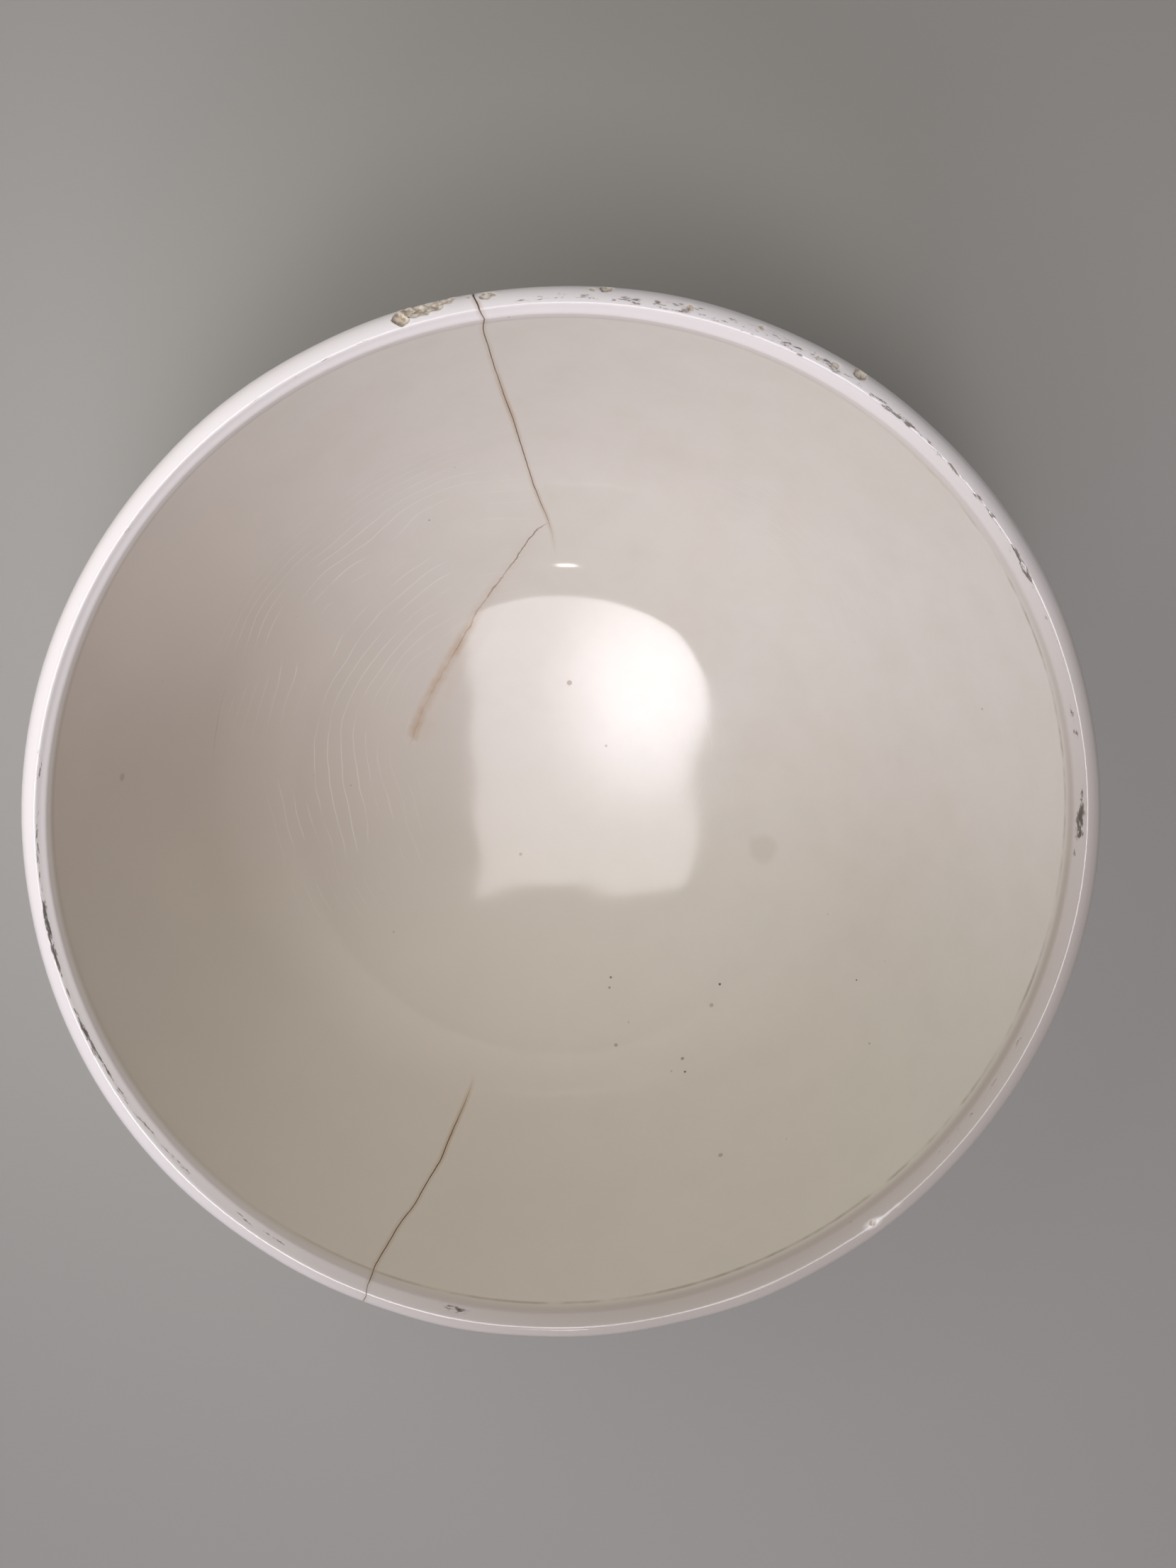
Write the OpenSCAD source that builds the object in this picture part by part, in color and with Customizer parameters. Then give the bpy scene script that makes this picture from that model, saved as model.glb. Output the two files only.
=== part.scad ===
// Deep round bowl of glazed white earthenware, for mixing or grinding.
// It is thrown in one piece: a foot ring, a dished floor, a gently bellied wall and a
// rolled rim with a bevelled inner edge. The origin is the middle of the foot, on the
// surface that the bowl stands on, and the bowl opens towards +Z.

/* [Overall] */
// Outer diameter, over the widest part of the rolled rim
rim_d = 240; // [216:1:280]
// Depth of the inside, from the crest of the rim to the middle of the floor
inside_depth = 108; // [90:1:130]
// Thickness of the wall and the floor
wall_t = 4.5; // [4:0.1:7]

/* [Inside] */
// Lean of the inner wall away from upright at the rim, in degrees
flare = 9; // [7:0.5:14]
// Radius of the wall's gentle belly, seen in section
belly_r = 240; // [200:5:300]
// Radius of the tight curve that joins the wall to the floor
knuckle_r = 60; // [50:1:72]
// Radius of the floor's shallow dish
floor_r = 240; // [190:5:300]

/* [Rim] */
// Radius of the roll on the outer side of the crest
roll_r = 3.8; // [3:0.1:5]
// Width of the narrow flat crest
crest_w = 0.5; // [0.2:0.1:1]
// Width of the bevel on the inner side, seen from above
bevel_w = 1.8; // [1:0.1:2.5]
// Drop of the bevel, from the crest to the top of the inner lip
bevel_drop = 2.2; // [1:0.1:3]
// Height of the upright inner lip under the bevel
lip_h = 4.3; // [3:0.1:6]

/* [Foot] */
// Outer diameter of the foot ring
foot_d = 116; // [90:1:136]
// Width of the foot ring
foot_w = 8; // [6:0.5:12]
// Height of the middle of the underside above the surface that the bowl stands on
foot_recess = 7.5; // [6:0.5:10]
// Radius of the fillet between the outside of the foot ring and the base
foot_fillet = 5; // [3:0.5:6]
// Radius of the fillet between the inside of the foot ring and the underside
recess_fillet = 3; // [1:0.5:4]
// Radius of the small round on the foot ring's edges
foot_round = 1.2; // [0.5:0.1:1.8]

/* [Wear] */
// Depth of the chips in the rolled rim, at their deepest
chip_depth = 1.4; // [0.5:0.1:2]

/* [Hidden] */
$fn = 96;

// Largest turn between two points of a curve, in degrees
arc_step = 2.5;

crest_r = rim_d / 2 - roll_r;
height = foot_recess + wall_t + inside_depth;
roll_z = height - roll_r;

// The inner wall starts at the foot of the upright lip
lip_r = crest_r - crest_w - bevel_w;
lip_z = height - bevel_drop - lip_h;

// Centres of the section's three arcs. Each touches the next, and the outside of the
// bowl has the same centres as the inside.
dish_c = [0, foot_recess + wall_t + floor_r];
belly_c = [lip_r, lip_z] + belly_r * [-cos(flare), sin(flare)];
knuckle_c = lower_meeting(belly_c, belly_r - knuckle_r, dish_c, floor_r - knuckle_r);

// Where the dish becomes the knuckle, and the knuckle the belly, in degrees from upright
dish_turn = atan2(knuckle_c.x, dish_c.y - knuckle_c.y);
belly_turn = atan2(knuckle_c.x - belly_c.x, belly_c.y - knuckle_c.y);

foot_r = foot_d / 2;

// Each chip in the rim: its place round the rim in degrees, the radius of the ball that
// cuts it, and how far above the horizontal the ball comes from.
CHIPS = [
    [107.5, 2.2, 55],  // the notch at the end of the long scar
    [104.7, 14, 40],   // the long shallow scar
    [87, 1.5, 20],
    [60, 1.8, 30],
];

// Points of an arc about c, from angle a0 to a1, both ends included
function arc(c, r, a0, a1) =
    let (n = max(2, ceil(abs(a1 - a0) / arc_step)))
    [for (i = [0:n]) let (a = a0 + (a1 - a0) * i / n) c + r * [cos(a), sin(a)]];

// Where two circles cross: the crossing that lies to the right, going from c0 to c1
function lower_meeting(c0, r0, c1, r1) =
    let (
        span = norm(c1 - c0),
        along = (c1 - c0) / span,
        near = (r0 * r0 - r1 * r1 + span * span) / (2 * span)
    )
    c0 + near * along + sqrt(r0 * r0 - near * near) * [along.y, -along.x];

// Half of the bowl's section at distance t outside the inner surface, from the axis
// up to height top_z: dish, knuckle and belly
function bowl_curve(t, top_z) =
    concat(
        arc(dish_c, floor_r + t, -90, dish_turn - 90),
        arc(knuckle_c, knuckle_r + t, dish_turn - 90, belly_turn - 90),
        arc(belly_c, belly_r + t, belly_turn - 90, asin((top_z - belly_c.y) / (belly_r + t)))
    );

// Centre of a fillet at distance x from the axis, which touches circle c from below
function fillet_centre(x, fillet_r, c, r) =
    [x, c.y - sqrt(pow(r + fillet_r, 2) - pow(x - c.x, 2))];

// Angle at which a fillet with centre f touches circle c
function touch_angle(f, c) = atan2(c.y - f.y, c.x - f.x);

// The body before the inside is hollowed out: underside, outer wall and roll
module outer_section() {
    polygon(concat(bowl_curve(wall_t, roll_z), [[crest_r, height], [0, height]]));
    translate([crest_r, roll_z]) circle(r = roll_r);
}

// The hollow: dish, knuckle, belly, upright lip and bevel, open at the top
module inner_section() {
    bevel_r = lip_r + bevel_w;
    polygon(concat(bowl_curve(0, lip_z), [
        [lip_r, height - bevel_drop],
        [bevel_r, height],
        [bevel_r, height + 1],
        [0, height + 1],
    ]));
}

// The foot ring, with rounded edges, and a fillet up to the base on either side
module foot_section() {
    inner_r = foot_r - foot_w;
    outer_f = fillet_centre(foot_r + foot_fillet, foot_fillet, knuckle_c, knuckle_r + wall_t);
    inner_f = fillet_centre(inner_r - recess_fillet, recess_fillet, dish_c, floor_r + wall_t);
    // The ring ends inside the wall
    top_z = outer_f.y + foot_fillet + wall_t / 2;
    polygon(concat(
        arc([inner_r + foot_round, foot_round], foot_round, 180, 270),
        arc([foot_r - foot_round, foot_round], foot_round, 270, 360),
        arc(outer_f, foot_fillet, 180, touch_angle(outer_f, knuckle_c)),
        [[foot_r, top_z], [inner_r, top_z]],
        arc(inner_f, recess_fillet, touch_angle(inner_f, dish_c), 0)
    ));
}

// One chip: a ball that bites chip_depth into the roll
module chip(place, ball_r, rise) {
    reach = roll_r - chip_depth + ball_r;
    rotate([0, 0, place])
        translate([crest_r + reach * cos(rise), 0, roll_z + reach * sin(rise)])
            sphere(r = ball_r);
}

module bowl() {
    color("#e9e4dc")
    difference() {
        rotate_extrude() difference() {
            union() {
                outer_section();
                foot_section();
            }
            inner_section();
        }
        for (c = CHIPS) chip(c[0], c[1], c[2]);
    }
}

bowl();
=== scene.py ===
import math

import bpy
import numpy as np
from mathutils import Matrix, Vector


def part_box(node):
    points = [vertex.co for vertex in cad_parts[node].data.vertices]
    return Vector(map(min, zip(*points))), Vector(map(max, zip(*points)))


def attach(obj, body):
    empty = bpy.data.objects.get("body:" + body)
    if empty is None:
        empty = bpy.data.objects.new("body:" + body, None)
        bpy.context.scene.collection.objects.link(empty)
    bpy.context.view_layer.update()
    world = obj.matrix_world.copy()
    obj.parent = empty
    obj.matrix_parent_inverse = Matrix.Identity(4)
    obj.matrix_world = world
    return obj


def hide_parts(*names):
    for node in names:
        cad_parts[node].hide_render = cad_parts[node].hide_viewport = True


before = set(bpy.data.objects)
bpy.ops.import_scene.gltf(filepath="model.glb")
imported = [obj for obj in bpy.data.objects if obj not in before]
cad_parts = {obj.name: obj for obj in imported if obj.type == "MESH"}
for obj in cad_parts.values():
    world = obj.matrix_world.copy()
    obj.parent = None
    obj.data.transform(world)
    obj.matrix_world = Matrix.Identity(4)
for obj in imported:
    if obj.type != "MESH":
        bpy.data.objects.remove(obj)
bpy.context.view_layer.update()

bowl_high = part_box("bowl")[1]

# ------------------------------------------------------------------------------------------
# Camera: held by hand over the bowl's mouth, a little past its middle, and tipped back a few
# degrees, so that it sees the whole inside and the crest of the rim, but not the outer wall.

camera_data = bpy.data.cameras.new("camera")
camera_data.lens = 27.03
camera_data.sensor_width = 36
camera = bpy.data.objects.new("camera", camera_data)
above_rim = 0.2518
camera.location = (-0.0139, 0.0648, bowl_high.z + above_rim)
tipped_back = math.radians(-10.82)
tipped_aside = math.radians(-3.71)
camera.rotation_euler = (tipped_back, tipped_aside, 0)
bpy.context.scene.collection.objects.link(camera)
bpy.context.scene.camera = camera

# ------------------------------------------------------------------------------------------
# The bowl: one piece of white earthenware, thrown on a wheel, its rim rolled outwards, its
# foot turned, and glazed all over but for the face it stands on. Long use has chipped the
# roll, cracked the wall from the rim downwards in two places and left metal marks on the rim.

# Sizes in millimetres: the same arcs as the solid model, so that the glaze lies on its faces.
height = bowl_high.z * 1000
rim_r = bowl_high.x * 1000
wall_t = 4.5
flare = 9  # degrees that the inner wall leans out at the rim
belly_r = 240
knuckle_r = 60
floor_r = 240
roll_r = 3.8
crest_w = 0.5
bevel_w = 1.8
bevel_drop = 2.2
lip_h = 4.3
foot_r = 58
foot_w = 8
foot_recess = 7.5
foot_fillet = 5
recess_fillet = 3
foot_round = 1.2
grain = 0.1  # distance between the section's points

crest_r = rim_r - roll_r
roll_z = height - roll_r
lip_r = crest_r - crest_w - bevel_w
lip_z = height - bevel_drop - lip_h


def arc(centre, radius, start, end):
    """Points of a circle about centre, from one angle to another in degrees, a grain apart."""
    count = max(3, int(abs(math.radians(end - start)) * radius / grain))
    turn = np.radians(np.linspace(start, end, count))
    return np.column_stack([centre[0] + radius * np.cos(turn), centre[1] + radius * np.sin(turn)])


def line(start, end):
    """Points of a straight line, a grain apart."""
    share = np.linspace(0, 1, max(2, int(math.dist(start, end) / grain)))[:, None]
    return (1 - share) * np.array(start) + share * np.array(end)


def meeting(c0, r0, c1, r1):
    """Where two circles cross, on the right of the way from c0 to c1: the foot of their common
    chord on the line between the centres, and from there half the chord at right angles."""
    span = math.dist(c0, c1)
    ahead = (np.array(c1) - c0) / span
    aside = np.array([ahead[1], -ahead[0]])
    near = (r0 * r0 - r1 * r1 + span * span) / (2 * span)
    return np.array(c0) + near * ahead + math.sqrt(r0 * r0 - near * near) * aside


def bearing(start, end):
    """Angle of the way from one point to another, in degrees."""
    return math.degrees(math.atan2(end[1] - start[1], end[0] - start[0]))


def fillet_centre(across, fillet, centre, radius):
    """Centre of a fillet, so far across from the axis, that touches a circle from below: the
    two centres are the sum of the radii apart."""
    rise = math.sqrt((radius + fillet) ** 2 - (across - centre[0]) ** 2)
    return (across, centre[1] - rise)


lean = math.radians(flare)
dish_c = (0.0, foot_recess + wall_t + floor_r)
belly_c = (lip_r - belly_r * math.cos(lean), lip_z + belly_r * math.sin(lean))
knuckle_c = meeting(belly_c, belly_r - knuckle_r, dish_c, floor_r - knuckle_r)
roll_c = (crest_r, roll_z)
under_roll = meeting(belly_c, belly_r + wall_t, roll_c, roll_r)
hollow_r = foot_r - foot_w
fillet_c = fillet_centre(foot_r + foot_fillet, foot_fillet, knuckle_c, knuckle_r + wall_t)
recess_c = fillet_centre(hollow_r - recess_fillet, recess_fillet, dish_c, floor_r + wall_t)
to_dish = bearing(dish_c, knuckle_c)
to_belly = bearing(belly_c, knuckle_c)
to_fillet = bearing(knuckle_c, fillet_c)
to_recess = bearing(dish_c, recess_c)

inside = [
    arc(dish_c, floor_r, -90, to_dish),
    arc(knuckle_c, knuckle_r, to_dish, to_belly),
    arc(belly_c, belly_r, to_belly, -flare),
]
lip = [
    line((lip_r, lip_z), (lip_r, height - bevel_drop)),
    line((lip_r, height - bevel_drop), (lip_r + bevel_w, height)),
    line((lip_r + bevel_w, height), (crest_r, height)),
    arc(roll_c, roll_r, 90, bearing(roll_c, under_roll)),
]
outside = [
    arc(belly_c, belly_r + wall_t, bearing(belly_c, under_roll), to_belly),
    arc(knuckle_c, knuckle_r + wall_t, to_belly, to_fillet),
]
foot = [
    arc(fillet_c, foot_fillet, to_fillet + 180, 180),
    line((foot_r, fillet_c[1]), (foot_r, foot_round)),
    arc((foot_r - foot_round, foot_round), foot_round, 0, -90),
    line((foot_r - foot_round, 0), (hollow_r + foot_round, 0)),
    arc((hollow_r + foot_round, foot_round), foot_round, -90, -180),
    line((hollow_r, foot_round), (hollow_r, recess_c[1])),
    arc(recess_c, recess_fillet, 0, to_recess + 180),
]
underside = [arc(dish_c, floor_r + wall_t, to_recess, -90)]


def length_of(parts):
    """Length along a chain of point lists."""
    return float(np.hypot(*np.diff(np.concatenate(parts), axis=0).T).sum())


# Distances along the section, from the middle of the floor: the lip's lower corner, its upper
# edge, the crest, the crease under the roll, the foot, and the underside
lip_s = length_of(inside)
bevel_s = length_of(inside + lip[:1])
crest_s = length_of(inside + lip[:2])
crease_s = length_of(inside + lip)
foot_s = length_of(inside + lip + outside)
under_s = length_of(inside + lip + outside + foot)

path = np.concatenate(inside + lip + outside + foot + underside)
gone = np.concatenate([[0], np.cumsum(np.hypot(*np.diff(path, axis=0).T))])
even = np.arange(0, gone[-1], grain)
path = np.column_stack([np.interp(even, gone, path[:, k]) for k in (0, 1)])


def rounded(points, blur):
    """The section with each point replaced by the mean of its neighbours, weighted by a bell
    curve of that spread. Past each end, it runs on as its own mirror image in the axis."""
    reach = int(4 * blur / grain)
    bell = np.exp(-0.5 * (np.arange(-reach, reach + 1) * grain / blur) ** 2)
    mirror = points * (-1, 1)
    longer = np.concatenate([mirror[reach:0:-1], points, mirror[-2 : -reach - 2 : -1]])
    return np.column_stack([np.convolve(longer[:, k], bell / bell.sum(), "valid") for k in (0, 1)])


# The glaze softens every corner a little, and fills the crease under the roll
pooled = np.exp(-(((even - crease_s) / 2.2) ** 2))[:, None]
path = (1 - pooled) * rounded(path, 0.22) + pooled * rounded(path, 0.9)
path[0, 0] = path[-1, 0] = 0


def spread(low, high, base, grade, fine):
    """Places from low to high whose spacing is base, or less near the spans in fine, which are
    (from, to, spacing): there it is the given spacing, and grows by grade for each unit past."""
    fence = np.linspace(low, high, 40001)
    gap = np.full_like(fence, base)
    for start, end, spacing in fine:
        past = np.maximum(0, np.maximum(start - fence, fence - end))
        gap = np.minimum(gap, spacing + grade * past)
    count = np.concatenate([[0], np.cumsum(np.diff(fence) * 2 / (gap[1:] + gap[:-1]))])
    return np.interp(np.linspace(0, count[-1], int(round(count[-1])) + 1), count, fence)


# Rows are closest on the lip and the roll, and columns at the cracks and the chips
row_s = spread(0, even[-1], 4.2, 0.25, [
    (0, lip_s, 2.35),
    (44, 92, 1.9),
    (lip_s - 0.8, crest_s + 5.5, 0.38),
    (crest_s + 5.5, crease_s + 0.6, 0.6),
    (foot_s, under_s, 0.8),
])[1:-1]
seam = -80.0  # degrees: the first column's bearing, clear of the cracks and the chips
crack_at = (99.4, -115.2)
column = spread(seam, seam + 360, 1.85, 0.28, [
    *((c % 360 - 0.3, c % 360 + 0.3, 0.05) for c in crack_at),
    (101.5, 108.6, 0.14),
    (96.8, 101.2, 0.16),
    (86.0, 88.0, 0.18),
    (59.0, 61.0, 0.18),
    (56, 84, 0.45),
])[:-1]

row_r = np.interp(row_s, even, path[:, 0])
row_z = np.interp(row_s, even, path[:, 1])
along = np.column_stack([np.gradient(path[:, k], grain) for k in (0, 1)])
along /= np.linalg.norm(along, axis=1)[:, None]
out_r = -np.interp(row_s, even, along[:, 1])
out_z = np.interp(row_s, even, along[:, 0])


def waves(turn, seed, size, low, high):
    """A gentle wander round the bowl: the sum of cosines with whole numbers of waves from low
    to high, each of a random height and phase. Their heights fall off with their number, and
    the sum is scaled so that its root mean square is size."""
    draw = np.random.RandomState(seed)
    number = np.arange(low, high + 1)
    tall = draw.normal(size=number.size) / number**0.7
    phase = draw.uniform(0, 2 * math.pi, number.size)
    wave = np.tensordot(tall, np.cos(number[:, None, None] * turn + phase[:, None, None]), 1)
    return size * wave / np.sqrt((tall**2).sum() / 2)


def depth_s(depth):
    """Distance along the section of a place on the inner wall, so deep under the crest."""
    return np.interp(height - np.asarray(depth, float), row_z[row_s < lip_s], row_s[row_s < lip_s])


# The two cracks, from the inside outwards: distance along the section, bearing in degrees,
# half the width in millimetres, and how strongly it is stained. Past the rim both run on
# down the outside, and close up halfway.
top_crack = np.array([
    (depth_s(104), 90.2, 0.00, 0.0),
    (depth_s(98), 90.6, 0.00, 0.0),
    (depth_s(94), 91.6, 0.03, 0.3),
    (depth_s(91.5), 92.5, 0.05, 0.5),
    (depth_s(88), 93.8, 0.07, 0.6),
    (depth_s(83), 95.0, 0.09, 0.5),
    (depth_s(77), 95.8, 0.10, 0.3),
    (depth_s(68), 96.6, 0.10, 0.4),
    (depth_s(57), 97.3, 0.09, 0.9),
    (depth_s(46), 98.1, 0.08, 0.9),
    (depth_s(32), 98.8, 0.08, 0.5),
    (depth_s(20), 99.2, 0.09, 0.4),
    (depth_s(10), 99.5, 0.09, 0.4),
    (bevel_s, 99.2, 0.09, 0.4),
    (crest_s, 99.7, 0.11, 0.5),
    (crest_s + 4, 100.1, 0.20, 0.8),
    (crease_s, 99.8, 0.12, 0.6),
    (crease_s + 22, 98.9, 0.09, 0.4),
    (crease_s + 48, 99.4, 0.00, 0.0),
])
low_crack = np.array([
    (depth_s(78), -107.0, 0.00, 0.0),
    (depth_s(73), -107.2, 0.03, 0.4),
    (depth_s(67), -107.8, 0.06, 0.8),
    (depth_s(57), -108.9, 0.10, 1.0),
    (depth_s(48), -109.6, 0.11, 0.7),
    (depth_s(41), -110.7, 0.11, 0.5),
    (depth_s(31), -111.9, 0.09, 0.5),
    (depth_s(24), -113.2, 0.09, 0.6),
    (depth_s(16), -114.1, 0.10, 0.6),
    (depth_s(8.5), -114.9, 0.09, 0.5),
    (bevel_s, -115.2, 0.08, 0.4),
    (crest_s, -115.3, 0.06, 0.2),
    (crease_s, -115.2, 0.07, 0.4),
    (crease_s + 30, -114.6, 0.00, 0.0),
])

# Each column near a crack turns with it, by a share that falls off over 24 degrees either side
turn = np.radians(np.tile(column, (row_s.size, 1)))
run = np.tile(row_s[:, None], (1, column.size))
crack_limit = 9.0  # millimetres: the furthest that a place counts as being from a crack
crack_off = np.full_like(run, crack_limit)
crack_half = np.zeros_like(run)
crack_stain = np.zeros_like(run)
for at, crack, seed in ((crack_at[0], top_crack, 3), (crack_at[1], low_crack, 5)):
    jitter = waves(row_s[None, :, None] / 14.0, seed, 0.10, 2, 16)[0]
    way = np.interp(row_s, crack[:, 0], crack[:, 1])[:, None] + jitter * (row_s > 30)[:, None]
    past = (column - at + 180) % 360 - 180
    hold = 0.5 + 0.5 * np.cos(np.pi * np.clip((np.abs(past) - 1) / 24, 0, 1))
    turn = turn + np.radians((way - at) * hold)
    near = np.abs(past) < 20
    side = (np.radians((np.degrees(turn) - way + 180) % 360 - 180) * row_r[:, None])[:, near]
    crack_off[:, near] = np.clip(side, -crack_limit, crack_limit)
    for held, k in ((crack_half, 2), (crack_stain, 3)):
        held[:, near] = np.interp(row_s, crack[:, 0], crack[:, k], 0, 0)[:, None] * hold[near]

# A throwing hand's wander: the whole bowl a little out of round, the wall rippled, the roll
# uneven, and the mouth a little off the middle, so that the rim is wider on one side
r = np.repeat(row_r[:, None], column.size, 1)
z = np.repeat(row_z[:, None], column.size, 1)
push = waves(turn, 11, 0.10, 5, 22) * np.exp(-(((run - crest_s - 3) / 7) ** 2))
ripple = 0.03 * np.sin(run / 5.5 + waves(turn, 12, 1.2, 1, 4))
push += ripple * np.clip((run - 20) / 20, 0, 1) * (run < lip_s)
notch = np.clip(1 - np.abs(crack_off) / np.maximum(crack_half, 1e-6), 0, 1) * (crack_half > 0.02)
push -= notch * (0.25 + 1.4 * crack_half)
r = r + push * out_r[:, None] + waves(turn, 13, 0.12, 2, 4) * (row_r / rim_r)[:, None]
z = z + push * out_z[:, None]
off_middle = 0.6 * np.clip(row_s / lip_s, 0, 1) ** 3 * np.clip((crest_s + 1 - row_s) / 2.5, 0, 1)
off_towards = math.radians(145)
x = r * np.cos(turn) + (off_middle * math.cos(off_towards))[:, None]
y = r * np.sin(turn) + (off_middle * math.sin(off_towards))[:, None]
points = np.stack([x, y, z], -1)

# Chips in the roll: bearing, radius of the ball that cuts it, how far above the horizontal the
# ball comes from, and its depth. The first five make the notch and the long scar beside it.
chips = [
    (107.4, 2.0, 62, 1.5), (106.3, 3.0, 42, 1.35), (105.2, 6.0, 37, 1.25), (104.0, 7.0, 35, 1.05),
    (102.8, 5.0, 33, 0.75),
    (98.9, 2.2, 46, 0.7), (98.1, 1.8, 43, 0.55), (100.6, 1.3, 40, 0.45),
    (87, 1.6, 34, 1.0), (88.4, 1.6, 52, 0.35), (60, 1.7, 52, 1.0), (62.6, 0.9, 72, 0.5),
    (64.6, 0.7, 78, 0.35), (78.5, 0.9, 70, 0.35), (71.0, 0.8, 62, 0.35),
    (-52.4, 1.6, 100, 0.3), (-49.3, 1.4, 96, 0.3),
]


def crumble(places, seed):
    """How far broken clay stands proud at each place: the mean of sixteen sine waves, 0.8 to
    4 mm long, that run in random directions."""
    draw = np.random.RandomState(seed)
    ahead = draw.normal(size=(3, 16))
    ahead *= 2 * math.pi / draw.uniform(0.8, 4.0, 16) / np.linalg.norm(ahead, axis=0)
    return np.sin(places @ ahead + draw.uniform(0, 2 * math.pi, 16)).mean(-1)


# How far each place lies inside broken clay, from -1, sound glaze, to 1. The foot's standing
# face is bare too, to 0.35 mm up.
bare = np.full_like(run, -1.0)
for at, ball, rise, depth in chips:
    at = math.radians(at)
    rise = math.radians(rise)
    reach = roll_r - depth + ball
    from_axis = crest_r + reach * math.cos(rise)
    centre = np.array([
        from_axis * math.cos(at),
        from_axis * math.sin(at),
        roll_z + reach * math.sin(rise),
    ])
    away = points - centre
    far = np.linalg.norm(away, axis=-1)
    close = far < ball + 2
    edge = ball + 0.9 * crumble(points[close], 21)
    bare[close] = np.maximum(bare[close], np.clip(edge - far[close], -1, 1))
    cut = far[close] < edge
    rough = 0.5 * crumble(2 * points[close], 22) * np.clip((edge - far[close]) / 0.3, 0, 1)
    wall = (edge + rough)[cut]
    spots = points[close]
    spots[cut] = centre + away[close][cut] / far[close][cut][:, None] * wall[:, None]
    points[close] = spots
bare = np.where(run > foot_s, np.maximum(bare, np.clip(0.35 - z, -1, 1)), bare)

# Marks that metal tools and stacking left on the bevel and the crest: from one bearing to
# another, how far up the bevel (0 its foot, 1 the crest, and past 1 on the roll), half the
# width, and strength
marks = [
    (-105.5, -103, 0.35, 0.5, 0.85), (-134, -127, 0.45, 0.35, 0.50), (-148, -139, 0.60, 0.35, 0.60),
    (-157.5, -149.5, 0.70, 0.3, 0.70), (-162, -158, 0.80, 0.45, 1.00), (-169, -162.5, 0.85, 0.25, 0.65),
    (-176.4, -170, 0.85, 0.60, 1.00), (175, 182, 0.80, 0.4, 0.65), (166, 173, 0.80, 0.6, 0.50),
    (1.6, 3.7, 0.50, 0.6, 1.00), (3.7, 7.0, 0.65, 0.35, 0.72), (12, 16.5, 0.60, 0.35, 0.68),
    (-2.2, -0.6, 0.20, 0.5, 0.50), (19, 27, 0.80, 0.4, 0.42), (31.5, 36, 0.90, 0.55, 0.80),
    (38, 48, 1.00, 0.5, 0.52), (50, 58, 1.10, 0.5, 0.60), (60, 70, 1.40, 1.0, 0.55),
    (70, 86, 1.50, 0.9, 0.48), (88, 97, 1.50, 0.9, 0.35), (110, 125, 0.95, 0.5, 0.25),
    (140, 160, 0.85, 0.5, 0.25), (-98, -60, 0.80, 0.5, 0.22), (-45, -15, 0.30, 0.4, 0.30),
]
wear = np.zeros_like(run)
bevel_length = crest_s - bevel_s
for start, end, up, half, strong in marks:
    swing = (np.degrees(turn) - (start + end) / 2 + 180) % 360 - 180
    beyond = np.maximum(0, np.abs(swing) - (end - start) / 2) * 2.0
    across = (run - bevel_s - up * bevel_length) / half
    wear = np.maximum(wear, strong * np.exp(-(beyond**2) / 2 - across**2 / 2))

# Where the glaze is crazed, mostly on one side: the middle of each patch and half its width, in
# degrees, from one distance along the section to another, and strength
crazed = np.zeros_like(run)
for middle, across, low, high, strong in (
    (132, 30, 50, 122, 1.0),
    (48, 16, 92, 128, 0.45),
    (180, 30, 40, 92, 0.8),
    (0, 22, 34, 60, 0.5),
):
    swing = (np.degrees(turn) - middle + 180) % 360 - 180
    band = np.clip((run - low) / 14, 0, 1) * np.clip((high - run) / 14, 0, 1)
    crazed = np.maximum(crazed, strong * np.exp(-((swing / across) ** 4)) * band)

# The branch crack, from where it leaves the first one to its end on the floor: bearing and
# distance from the axis. How far a place is from it, and how far on along it, from 0 to 1, are
# measured on the glaze laid out flat: each place at its own bearing, and as far from the middle
# as it is along the section.
branch = np.array([
    (92.5, 75), (94.6, 73.6), (96.8, 71), (101.7, 65), (107.7, 60), (115, 55.5),
    (120, 52), (128, 49), (142, 46), (152, 45.5), (166, 45.8),
])
branch_s = np.interp(branch[:, 1], row_r[row_s < lip_s], row_s[row_s < lip_s])
branch_turn = np.radians(branch[:, 0])
branch_xy = np.stack([branch_s * np.cos(branch_turn), branch_s * np.sin(branch_turn)])
step = np.concatenate([[0], np.cumsum(np.hypot(*np.diff(branch_xy)))])
share = np.linspace(0, 1, 241)
branch_xy = np.stack([np.interp(share * step[-1], step, c) for c in branch_xy])
branch_limit = 12.0  # millimetres, as crack_limit
flat = np.stack([run * np.cos(turn), run * np.sin(turn)])
branch_off = np.full_like(run, branch_limit)
branch_way = np.full_like(run, -1.0)
near = (run > 20) & (run < 110) & (np.abs((np.degrees(turn) - 125 + 180) % 360 - 180) < 70)
gap = flat[:, near][:, :, None] - branch_xy[:, None, :]
nearest = np.argmin((gap**2).sum(0), 1)
ahead = np.gradient(branch_xy, axis=1)
ahead /= np.hypot(*ahead)
gap = gap[:, np.arange(nearest.size), nearest]
aside = gap[1] * ahead[0][nearest] - gap[0] * ahead[1][nearest]
branch_off[near] = np.clip(aside, -branch_limit, branch_limit)
at_end = (nearest == 0) | (nearest == share.size - 1)
branch_way[near] = share[nearest] + (gap * ahead[:, nearest]).sum(0) * at_end / 10

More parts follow.
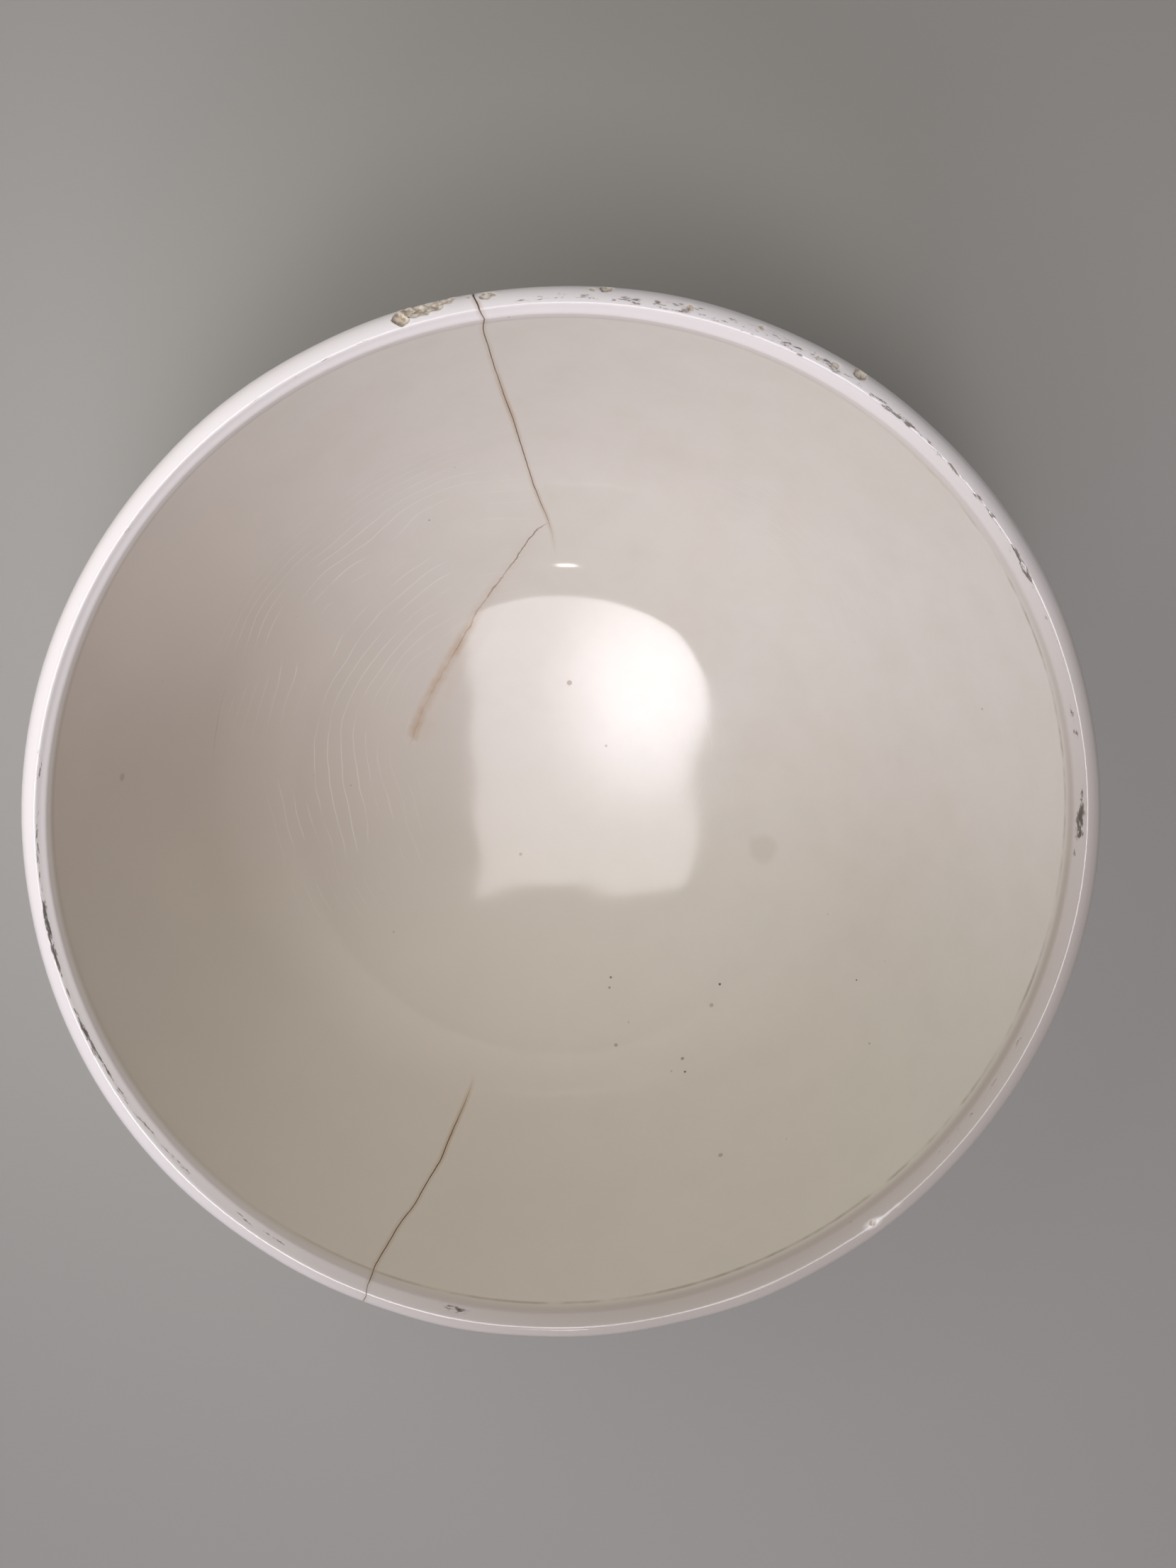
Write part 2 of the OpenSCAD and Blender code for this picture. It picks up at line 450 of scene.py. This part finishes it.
# The mesh: rows along the section, columns round it, and one point at either end
rows, columns = run.shape
grid = points.reshape(-1, 3)
floor_point = rows * columns
co = np.concatenate([grid, [[0, 0, path[0, 1]], [0, 0, path[-1, 1]]]]) / 1000
first = np.arange(columns)
second = np.roll(first, -1)
start = (np.arange(rows - 1) * columns)[:, None]
quads = np.stack([
    start + first,
    start + columns + first,
    start + columns + second,
    start + second,
], -1).reshape(-1, 4)
last = (rows - 1) * columns
floor_fan = np.column_stack([np.full(columns, floor_point), first, second])
under_fan = np.column_stack([np.full(columns, floor_point + 1), last + second, last + first])
bowl_mesh = bpy.data.meshes.new("glazed_bowl")
bowl_mesh.from_pydata(co.tolist(), [], quads.tolist() + floor_fan.tolist() + under_fan.tolist())
bowl_mesh.polygons.foreach_set("use_smooth", np.ones(len(bowl_mesh.polygons), bool))

# What the material reads at each point, and at the middles of the floor and the underside
measures = {
    "run": (run, (0, even[-1])),
    "crack_off": (crack_off, (crack_limit, crack_limit)),
    "crack_half": (crack_half, (0, 0)),
    "crack_stain": (crack_stain, (0, 0)),
    "branch_off": (branch_off, (branch_limit, branch_limit)),
    "branch_way": (branch_way, (-1, -1)),
    "bare": (bare, (-1, -1)),
    "wear": (wear, (0, 0)),
    "crazed": (crazed, (0, 0)),
}
for name, (values, middles) in measures.items():
    layer = bowl_mesh.attributes.new(name, "FLOAT", "POINT")
    layer.data.foreach_set("value", np.concatenate([values.ravel(), middles]).astype(np.float32))
bowl = bpy.data.objects.new("glazed_bowl", bowl_mesh)
bpy.context.scene.collection.objects.link(bowl)


def colour(code):
    """Linear RGBA of an sRGB hex colour such as "#E9E4DC"."""
    share = np.array([int(code[k : k + 2], 16) for k in (1, 3, 5)]) / 255
    linear = np.where(share <= 0.04045, share / 12.92, ((share + 0.055) / 1.055) ** 2.4)
    return (*linear.tolist(), 1.0)


def add(tree, kind, inputs=None, **settings):
    """Adds a node with its settings, and fills its inputs, each given by name or number: a
    socket is linked to it, and anything else is its value. Returns the node."""
    made = tree.nodes.new(kind)
    for name, value in settings.items():
        setattr(made, name, value)
    for key, value in (inputs or {}).items():
        if isinstance(value, bpy.types.NodeSocket):
            tree.links.new(value, made.inputs[key])
        else:
            made.inputs[key].default_value = value
    return made


# Glossy white glaze on earthenware: a thin glassy coat, fired smooth, over a cream body. It
# gives the eye sharp reflections on a soft, faintly warm white. Where the coat is broken the
# body is matt and tan, and years of damp have stained it brown along the cracks.
glaze = bpy.data.materials.new("glossy_white_glaze_on_earthenware")
glaze.use_nodes = True
tree = glaze.node_tree
tree.nodes.clear()
place = add(tree, "ShaderNodeTexCoord").outputs["Object"]
parts = add(tree, "ShaderNodeSeparateXYZ", {0: place}).outputs
read = {
    name: add(tree, "ShaderNodeAttribute", attribute_name=name).outputs["Fac"]
    for name in measures
}


def towards(degrees, start, end, most=1.0):
    """From 0 to most as a place goes from start to end, in metres, towards a bearing: its dot
    product with the unit vector that way, eased at both ends."""
    ahead = (math.cos(math.radians(degrees)), math.sin(math.radians(degrees)), 0)
    distance = add(tree, "ShaderNodeVectorMath", {
        0: place, 1: ahead,
    }, operation="DOT_PRODUCT").outputs["Value"]
    return add(tree, "ShaderNodeMapRange", {
        "Value": distance, "From Min": start, "From Max": end, "To Max": most,
    }, interpolation_type="SMOOTHSTEP").outputs[0]


def round_and_along(across, along):
    """A place for patterns that run round the bowl: its x and y in metres times across, and its
    distance along the section in millimetres times along."""
    return add(tree, "ShaderNodeCombineXYZ", {
        0: add(tree, "ShaderNodeMath", {0: parts[0], 1: across}, operation="MULTIPLY").outputs[0],
        1: add(tree, "ShaderNodeMath", {0: parts[1], 1: across}, operation="MULTIPLY").outputs[0],
        2: add(tree, "ShaderNodeMath", {0: read["run"], 1: along}, operation="MULTIPLY").outputs[0],
    }).outputs[0]


# The inside is painted greyer towards one side, a painted shade, and yellower towards another, a painted
# reflection of warm light.
# Over that lie soft clouds about 70 mm across, and a finer mottle of 12 mm.
# Painted shade: greyer towards bearing 210 degrees, lighter towards bearing 30
white = add(tree, "ShaderNodeMix", {
    0: towards(30, -0.11, 0.04), 6: colour("#CEC1B7"), 7: colour("#E8E3DD"),
}, data_type="RGBA").outputs[2]
clouds = add(tree, "ShaderNodeTexNoise", {
    "Vector": place, "Scale": 14, "Detail": 2, "Roughness": 0.5,
}).outputs["Fac"]
cloudy = add(tree, "ShaderNodeMapRange", {
    "Value": clouds, "From Min": 0.35, "From Max": 0.65, "To Max": 0.3,
}, interpolation_type="SMOOTHSTEP").outputs[0]
mottle = add(tree, "ShaderNodeTexNoise", {
    "Vector": place, "Scale": 80, "Detail": 3, "Roughness": 0.6,
}).outputs["Fac"]
mottled = add(tree, "ShaderNodeMapRange", {
    "Value": mottle, "From Min": 0.4, "From Max": 0.8, "To Max": 0.25,
}).outputs[0]
for amount, shade in (
    # Painted reflected light: yellower towards bearing -95 degrees
    (towards(-95, -0.03, 0.10, 0.7), "#DFDAC9"),
    (cloudy, "#E2DACD"),
    (mottled, "#D6D0C4"),
):
    white = add(tree, "ShaderNodeMix", {
        0: amount, 6: white, 7: colour(shade),
    }, data_type="RGBA").outputs[2]

# From the lip outwards the glaze is painted whiter than inside, a painted light on the lip and rim, and
# painted greyer towards bearing -45 degrees, a painted shadow
past_lip = add(tree, "ShaderNodeMapRange", {
    "Value": read["run"], "From Min": lip_s + 0.3, "From Max": lip_s + 2.8,
}, interpolation_type="SMOOTHSTEP").outputs[0]
rim_painted_light_and_shade = add(tree, "ShaderNodeMix", {
    0: towards(-45, -0.05, 0.11), 6: colour("#F5F0EF"), 7: colour("#C9C0B8"),
}, data_type="RGBA").outputs[2]
white = add(tree, "ShaderNodeMix", {0: past_lip, 6: white, 7: rim_painted_light_and_shade}, data_type="RGBA").outputs[2]

# Crazing: fine lines in the glaze that follow the throwing rings, and wander
ring_gap = 4.0  # millimetres
rings = round_and_along(22.0, 0.02)
wander = add(tree, "ShaderNodeTexNoise", {
    "Vector": rings, "Scale": 1, "Detail": 3, "Roughness": 0.35,
}).outputs["Fac"]
ring = add(tree, "ShaderNodeMath", {
    0: add(tree, "ShaderNodeMath", {0: read["run"], 1: 1 / ring_gap}, operation="MULTIPLY").outputs[0],
    1: add(tree, "ShaderNodeMath", {0: wander, 1: 5.0}, operation="MULTIPLY").outputs[0],
}, operation="ADD").outputs[0]
ring = add(tree, "ShaderNodeMath", {0: ring, 1: 0.5}, operation="PINGPONG").outputs[0]
hairline = add(tree, "ShaderNodeMapRange", {
    "Value": ring, "From Min": 0.06, "From Max": 0.0,
}, interpolation_type="SMOOTHSTEP").outputs[0]
patches = add(tree, "ShaderNodeTexNoise", {"Vector": rings, "Scale": 2.3, "Detail": 1}).outputs["Fac"]
patches = add(tree, "ShaderNodeMapRange", {
    "Value": patches, "From Min": 0.42, "From Max": 0.60,
}, interpolation_type="SMOOTHSTEP").outputs[0]
patches = add(tree, "ShaderNodeMath", {0: read["crazed"], 1: patches}, operation="MULTIPLY").outputs[0]
craze = add(tree, "ShaderNodeMath", {0: hairline, 1: patches}, operation="MULTIPLY").outputs[0]

# Iron specks and pinholes, about half a millimetre across. They are strewn 12 mm apart through
# space, and show where the surface passes through one.
cells = add(tree, "ShaderNodeTexVoronoi", {"Vector": place, "Scale": 85})
speck_shape = add(tree, "ShaderNodeMapRange", {
    "Value": cells.outputs["Distance"], "From Min": 0.04, "From Max": 0.01,
}, interpolation_type="SMOOTHSTEP").outputs[0]
chance = add(tree, "ShaderNodeSeparateColor", {0: cells.outputs["Color"]}).outputs[0]
speck_dark = add(tree, "ShaderNodeMapRange", {
    "Value": chance, "From Min": 0.4, "From Max": 1.0, "To Max": 0.7,
}).outputs[0]
specks = add(tree, "ShaderNodeMath", {0: speck_shape, 1: speck_dark}, operation="MULTIPLY").outputs[0]
for amount, shade in (
    (add(tree, "ShaderNodeMath", {0: craze, 1: 0.75}, operation="MULTIPLY").outputs[0], "#F6F2EC"),
    (specks, "#7D6F5C"),
):
    white = add(tree, "ShaderNodeMix", {
        0: amount, 6: white, 7: colour(shade),
    }, data_type="RGBA").outputs[2]

# Single spots and smudges inside: bearing in degrees, distance along the section from the
# middle of the floor and radius, both in millimetres, strength and colour. The mottle pulls
# their edges out of round.
for at, from_middle, radius, strong, shade in (
    (82.5, 28, 0.7, 0.80, "#9A7A55"),
    (173, 147, 1.1, 0.35, "#8A8078"),
    (-20, 68.5, 4.2, 0.16, "#A89C80"),
    (28, 17, 0.5, 0.50, "#8E8571"),
    (-114.5, 28.5, 0.5, 0.50, "#8E8571"),
    (-76, 67, 0.35, 0.80, "#6B6257"),
    (-77, 70, 0.3, 0.60, "#6B6257"),
    (-52.5, 84, 0.35, 0.90, "#57504A"),
    (-56.5, 88, 0.55, 0.45, "#8F7A58"),
    (-66.5, 99, 0.4, 0.60, "#6B6257"),
    (-67, 103.5, 0.3, 0.90, "#57504A"),
    (-78.5, 88, 0.45, 0.50, "#6B6257"),
    (-66.5, 136, 0.6, 0.50, "#7A7468"),
    (-32.5, 117.5, 0.3, 0.80, "#6B6257"),
):
    at = math.radians(at)
    spot_r = np.interp(from_middle, even, path[:, 0]) / 1000
    spot_z = np.interp(from_middle, even, path[:, 1]) / 1000
    spot = (spot_r * math.cos(at), spot_r * math.sin(at), spot_z)
    radius = radius / 1000
    apart = add(tree, "ShaderNodeVectorMath", {0: place, 1: spot}, operation="DISTANCE").outputs["Value"]
    pull = add(tree, "ShaderNodeMath", {0: mottle, 1: -1.2 * radius}, operation="MULTIPLY").outputs[0]
    apart = add(tree, "ShaderNodeMath", {0: pull, 1: apart}, operation="ADD").outputs[0]
    seen = add(tree, "ShaderNodeMapRange", {
        "Value": apart, "From Min": 0.7 * radius, "From Max": 0.2 * radius, "To Max": strong,
    }).outputs[0]
    white = add(tree, "ShaderNodeMix", {0: seen, 6: white, 7: colour(shade)}, data_type="RGBA").outputs[2]

# Darker in the inner corner under the lip, in broken lengths and on one side only
from_lip = add(tree, "ShaderNodeMath", {0: read["run"], 1: lip_s + 0.1}, operation="SUBTRACT").outputs[0]
from_lip = add(tree, "ShaderNodeMath", {0: from_lip}, operation="ABSOLUTE").outputs[0]
in_corner = add(tree, "ShaderNodeMapRange", {
    "Value": from_lip, "From Min": 0.75, "From Max": 0.1, "To Max": 0.55,
}, interpolation_type="SMOOTHSTEP").outputs[0]
lengths = add(tree, "ShaderNodeTexNoise", {
    "Vector": place, "Scale": 60, "Detail": 3, "Roughness": 0.7,
}).outputs["Fac"]
lengths = add(tree, "ShaderNodeMapRange", {
    "Value": lengths, "From Min": 0.36, "From Max": 0.66,
}, interpolation_type="SMOOTHSTEP").outputs[0]
corner_darkening = add(tree, "ShaderNodeMath", {0: in_corner, 1: lengths}, operation="MULTIPLY").outputs[0]
corner_darkening = add(tree, "ShaderNodeMath", {0: corner_darkening, 1: towards(-35, -0.04, 0.06)}, operation="MULTIPLY").outputs[0]

# Each place's distance in millimetres from the cracks and from the branch, frayed by a noise
# about 4 mm across
fray = add(tree, "ShaderNodeTexNoise", {
    "Vector": place, "Scale": 260, "Detail": 4, "Roughness": 0.65,
}).outputs["Fac"]
fray = add(tree, "ShaderNodeMath", {0: fray, 1: 0.5}, operation="SUBTRACT").outputs[0]
frayed = {}
for name, most in (("crack_off", 0.5), ("branch_off", 1.6)):
    shift = add(tree, "ShaderNodeMath", {0: fray, 1: most}, operation="MULTIPLY").outputs[0]
    shift = add(tree, "ShaderNodeMath", {0: shift, 1: read[name]}, operation="ADD").outputs[0]
    frayed[name] = add(tree, "ShaderNodeMath", {0: shift}, operation="ABSOLUTE").outputs[0]

# Brown stain that has crept under the glaze: a halo along the two cracks, and a blot along the
# branch, thin at first and widest near its end, with a faint bloom beside it
halo = add(tree, "ShaderNodeMapRange", {
    "Value": frayed["crack_off"], "From Min": 1.3, "From Max": 0.1, "To Max": 0.6,
}, interpolation_type="SMOOTHERSTEP").outputs[0]
halo = add(tree, "ShaderNodeMath", {0: halo, 1: read["crack_stain"]}, operation="MULTIPLY").outputs[0]
strength = add(tree, "ShaderNodeFloatCurve", {1: read["branch_way"]})
knots = strength.mapping.curves[0].points
knots[0].location = (0, 0.06)
knots[1].location = (1, 0.42)
for way, value in ((0.30, 0.22), (0.55, 0.70), (0.76, 1.0)):
    knots.new(way, value)
strength.mapping.update()
started = add(tree, "ShaderNodeMapRange", {
    "Value": read["branch_way"], "From Min": -0.02, "From Max": 0.02,
}).outputs[0]
not_over = add(tree, "ShaderNodeMapRange", {
    "Value": read["branch_way"], "From Min": 1.30, "From Max": 0.86,
}, interpolation_type="SMOOTHSTEP").outputs[0]
smudges = add(tree, "ShaderNodeTexNoise", {
    "Vector": place, "Scale": 150, "Detail": 2, "Roughness": 0.5,
}).outputs["Fac"]
smudges = add(tree, "ShaderNodeMapRange", {
    "Value": smudges, "From Min": 0.36, "From Max": 0.58, "To Min": 0.45,
}).outputs[0]
on_branch = add(tree, "ShaderNodeMath", {0: started, 1: not_over}, operation="MULTIPLY").outputs[0]
on_branch = add(tree, "ShaderNodeMath", {0: on_branch, 1: smudges}, operation="MULTIPLY").outputs[0]
stained = add(tree, "ShaderNodeMath", {
    0: strength.outputs[0], 1: on_branch,
}, operation="MULTIPLY").outputs[0]
blot = add(tree, "ShaderNodeMapRange", {
    "Value": frayed["branch_off"], "From Min": 2.9, "From Max": 0.0, "To Max": 0.62,
}, interpolation_type="SMOOTHERSTEP").outputs[0]
blot = add(tree, "ShaderNodeMath", {0: blot, 1: stained}, operation="MULTIPLY").outputs[0]
bloom = add(tree, "ShaderNodeMapRange", {
    "Value": read["branch_off"], "From Min": -1.5, "From Max": 3.5, "To Max": 0.22,
}, interpolation_type="SMOOTHERSTEP").outputs[0]
bloom_end = add(tree, "ShaderNodeMapRange", {
    "Value": read["branch_off"], "From Min": 8.0, "From Max": 3.5,
}, interpolation_type="SMOOTHERSTEP").outputs[0]
bloom = add(tree, "ShaderNodeMath", {0: bloom, 1: bloom_end}, operation="MULTIPLY").outputs[0]
bloom = add(tree, "ShaderNodeMath", {0: bloom, 1: stained}, operation="MULTIPLY").outputs[0]

# The crack lines themselves, dark with dirt, about 0.4 mm wide. The branch is finer, and fades
# as it goes.
in_crack = add(tree, "ShaderNodeMath", {
    0: frayed["crack_off"], 1: read["crack_half"],
}, operation="SUBTRACT").outputs[0]
in_crack = add(tree, "ShaderNodeMapRange", {
    "Value": in_crack, "From Min": 0.10, "From Max": -0.08, "To Max": 0.9,
}, interpolation_type="SMOOTHSTEP").outputs[0]
is_open = add(tree, "ShaderNodeMapRange", {"Value": read["crack_half"], "From Max": 0.05}).outputs[0]
crack_line = add(tree, "ShaderNodeMath", {0: in_crack, 1: is_open}, operation="MULTIPLY").outputs[0]
in_branch = add(tree, "ShaderNodeMapRange", {
    "Value": frayed["branch_off"], "From Min": 0.32, "From Max": 0.10,
}, interpolation_type="SMOOTHSTEP").outputs[0]
fading = add(tree, "ShaderNodeMapRange", {
    "Value": read["branch_way"], "From Min": 0.15, "From Max": 0.85, "To Min": 0.8, "To Max": 0.22,
}).outputs[0]
fading = add(tree, "ShaderNodeMath", {0: fading, 1: on_branch}, operation="MULTIPLY").outputs[0]
branch_line = add(tree, "ShaderNodeMath", {0: in_branch, 1: fading}, operation="MULTIPLY").outputs[0]
for amount, shade in (
    (corner_darkening, "#8F8577"),
    (bloom, "#D3C0A8"),
    (halo, "#BE9C74"),
    (blot, "#C39A70"),
    (branch_line, "#8A7562"),
    (crack_line, "#54483D"),
):
    white = add(tree, "ShaderNodeMix", {
        0: amount, 6: white, 7: colour(shade),
    }, data_type="RGBA").outputs[2]

# Metal marks and pits on the bevel and crest: streaks a few millimetres long, drawn out along
# the rim, black where they are thickest
streaks = add(tree, "ShaderNodeTexNoise", {
    "Vector": round_and_along(330.0, 1.5), "Scale": 1, "Detail": 5, "Roughness": 0.7,
}).outputs["Fac"]
rubbed = add(tree, "ShaderNodeMath", {0: read["wear"], 1: 0.36}, operation="MULTIPLY").outputs[0]
rubbed = add(tree, "ShaderNodeMath", {0: streaks, 1: rubbed}, operation="ADD").outputs[0]
rubbed = add(tree, "ShaderNodeMapRange", {
    "Value": rubbed, "From Min": 0.70, "From Max": 0.80, "To Max": 0.85,
}, interpolation_type="SMOOTHSTEP").outputs[0]
worn = add(tree, "ShaderNodeMapRange", {"Value": read["wear"], "From Min": 0.05, "From Max": 0.25}).outputs[0]
marked = add(tree, "ShaderNodeMath", {0: rubbed, 1: worn}, operation="MULTIPLY").outputs[0]
thick = add(tree, "ShaderNodeMapRange", {"Value": read["wear"], "From Min": 0.35, "From Max": 0.8}).outputs[0]
metal = add(tree, "ShaderNodeMix", {
    0: thick, 6: colour("#8F7C68"), 7: colour("#3D332D"),
}, data_type="RGBA").outputs[2]
white = add(tree, "ShaderNodeMix", {0: marked, 6: white, 7: metal}, data_type="RGBA").outputs[2]

# Bare clay in the chips and on the foot's standing face: tan, dusty and grainy, with a chalky
# edge where the glaze is bruised
chalky = add(tree, "ShaderNodeMapRange", {
    "Value": read["bare"], "From Min": -0.7, "From Max": -0.1, "To Max": 0.7,
}).outputs[0]
white = add(tree, "ShaderNodeMix", {0: chalky, 6: white, 7: colour("#F8F4F0")}, data_type="RGBA").outputs[2]
broken = add(tree, "ShaderNodeMath", {0: fray, 1: 0.5}, operation="MULTIPLY").outputs[0]
broken = add(tree, "ShaderNodeMath", {0: broken, 1: read["bare"]}, operation="ADD").outputs[0]
broken = add(tree, "ShaderNodeMapRange", {
    "Value": broken, "From Min": 0.0, "From Max": 0.12,
}, interpolation_type="SMOOTHSTEP").outputs[0]
dust = add(tree, "ShaderNodeTexNoise", {
    "Vector": place, "Scale": 900, "Detail": 3, "Roughness": 0.6,
}).outputs["Fac"]
dust = add(tree, "ShaderNodeMapRange", {"Value": dust, "From Min": 0.36, "From Max": 0.60}).outputs[0]
clay = add(tree, "ShaderNodeMix", {
    0: dust, 6: colour("#B5A38A"), 7: colour("#EFE6D9"),
}, data_type="RGBA").outputs[2]
finished = add(tree, "ShaderNodeMix", {0: broken, 6: white, 7: clay}, data_type="RGBA").outputs[2]

# Gloss: 0.07 on sound glaze, duller on metal marks, matt in the cracks and on bare clay
dull = add(tree, "ShaderNodeMath", {0: broken, 1: crack_line}, operation="MAXIMUM").outputs[0]
dull_metal = add(tree, "ShaderNodeMath", {0: marked, 1: 0.6}, operation="MULTIPLY").outputs[0]
dull = add(tree, "ShaderNodeMath", {0: dull, 1: dull_metal}, operation="MAXIMUM").outputs[0]
gloss = add(tree, "ShaderNodeMapRange", {"Value": dull, "To Min": 0.07, "To Max": 0.8}).outputs[0]

# Relief in millimetres: an orange peel too low to feel, the crazing, pits, and the clay's grain
peel = add(tree, "ShaderNodeTexNoise", {"Vector": place, "Scale": 55, "Detail": 1.5}).outputs["Fac"]
relief = add(tree, "ShaderNodeMath", {0: peel, 1: 0.010}, operation="MULTIPLY").outputs[0]
clay_grain = add(tree, "ShaderNodeMath", {0: fray, 1: broken}, operation="MULTIPLY").outputs[0]
for what, tall in ((craze, 0.004), (specks, -0.05), (marked, -0.10), (broken, -0.05), (clay_grain, 0.25)):
    step = add(tree, "ShaderNodeMath", {0: what, 1: tall}, operation="MULTIPLY").outputs[0]
    relief = add(tree, "ShaderNodeMath", {0: relief, 1: step}, operation="ADD").outputs[0]
bump = add(tree, "ShaderNodeBump", {"Height": relief, "Strength": 1.0, "Distance": 0.001}).outputs[0]
shader = add(tree, "ShaderNodeBsdfPrincipled", {
    "Base Color": finished, "Roughness": gloss, "IOR": 1.5, "Normal": bump,
})
add(tree, "ShaderNodeOutputMaterial", {"Surface": shader.outputs[0]})
bowl_mesh.materials.append(glaze)

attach(bowl, "root")
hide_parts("bowl")

# ------------------------------------------------------------------------------------------
# The table: a plain pale top, painted matt, wide enough to fill every view. It isn't part
# of the object.

table_r = 2.5
sides = 96
spin = np.arange(sides) * 2 * math.pi / sides
table_co = np.column_stack([table_r * np.cos(spin), table_r * np.sin(spin), np.zeros(sides)])
table_mesh = bpy.data.meshes.new("table_top")
table_mesh.from_pydata(table_co.tolist(), [], [list(range(sides))])
table = bpy.data.objects.new("table_top", table_mesh)
bpy.context.scene.collection.objects.link(table)
paint = bpy.data.materials.new("matt_pale_paint")
paint.use_nodes = True
paint_shader = paint.node_tree.nodes["Principled BSDF"]
paint_shader.inputs["Base Color"].default_value = colour("#B9B7B1")
paint_shader.inputs["Roughness"].default_value = 0.85
table_mesh.materials.append(paint)

# ------------------------------------------------------------------------------------------
# Light: a room with pale walls and a dim ceiling, and soft boxes over the bowl, in front, behind
# and close by on the left. The overhead one shows as a bright patch in the floor's gloss, and a
# small far lamp as a glint above it.

room = bpy.data.worlds.new("pale_room_with_dim_ceiling")
bpy.context.scene.world = room
room.use_nodes = True
background = room.node_tree.nodes["Background"]
background.inputs["Color"].default_value = colour("#E6E4E2")
ahead = add(room.node_tree, "ShaderNodeTexCoord").outputs["Generated"]
upward = add(room.node_tree, "ShaderNodeSeparateXYZ", {0: ahead}).outputs[2]
brightness = add(room.node_tree, "ShaderNodeMapRange", {
    "Value": upward, "From Min": 0.0, "From Max": 0.45, "To Min": 0.55, "To Max": 0.08,
}, interpolation_type="SMOOTHSTEP").outputs[0]
room.node_tree.links.new(brightness, background.inputs["Strength"])

# Each lamp's name, place and size in metres, power in watts, colour, and whether its reflection
# shows. All are turned to the middle of the bowl, and the camera sees none of them.
bowl_middle = Vector((0, 0, bowl_high.z / 2))
for name, spot, size, power, tint, shows in (
    ("overhead_softbox", (-0.002, -0.22, 1.00), (0.32, 0.45), 4.6, "#FFFBFF", True),
    ("front_softbox", (-0.30, -1.47, 1.15), (0.9, 0.9), 9.2, "#F1EDFF", False),
    ("window_softbox", (-0.17, 0.10, 0.31), (0.20, 0.20), 0.35, "#FFFCFA", False),
    ("back_softbox", (0.45, 1.50, 0.50), (0.9, 0.9), 1.4, "#F6F4FF", False),
    ("small_lamp", (0.039, -1.365, 1.50), (0.08, 0.05), 0.30, "#FFF8EE", True),
):
    lamp_data = bpy.data.lights.new(name, "AREA")
    lamp_data.shape = "RECTANGLE"
    lamp_data.size, lamp_data.size_y = size
    lamp_data.energy = power
    lamp_data.color = colour(tint)[:3]
    lamp_data.use_nodes = True
    lamp = bpy.data.objects.new(name, lamp_data)
    lamp.location = spot
    lamp.rotation_euler = (Vector(spot) - bowl_middle).to_track_quat("Z", "Y").to_euler()
    lamp.visible_camera = False
    lamp.visible_glossy = shows
    bpy.context.scene.collection.objects.link(lamp)

# The overhead box's lamp sits nearer one corner, so that its cloth is brighter there
cloth = bpy.data.lights["overhead_softbox"].node_tree
on_cloth = add(cloth, "ShaderNodeNewGeometry").outputs["Parametric"]
bright_corner = (0.25, 0.30, 0)
from_corner = add(cloth, "ShaderNodeVectorMath", {
    0: on_cloth, 1: bright_corner,
}, operation="DISTANCE").outputs["Value"]
glow = add(cloth, "ShaderNodeMapRange", {
    "Value": from_corner, "From Min": 0.05, "From Max": 0.55, "To Min": 1.15, "To Max": 0.45,
}, interpolation_type="SMOOTHSTEP").outputs[0]
cloth.links.new(glow, cloth.nodes["Emission"].inputs["Strength"])

bpy.context.scene.view_settings.view_transform = "Standard"
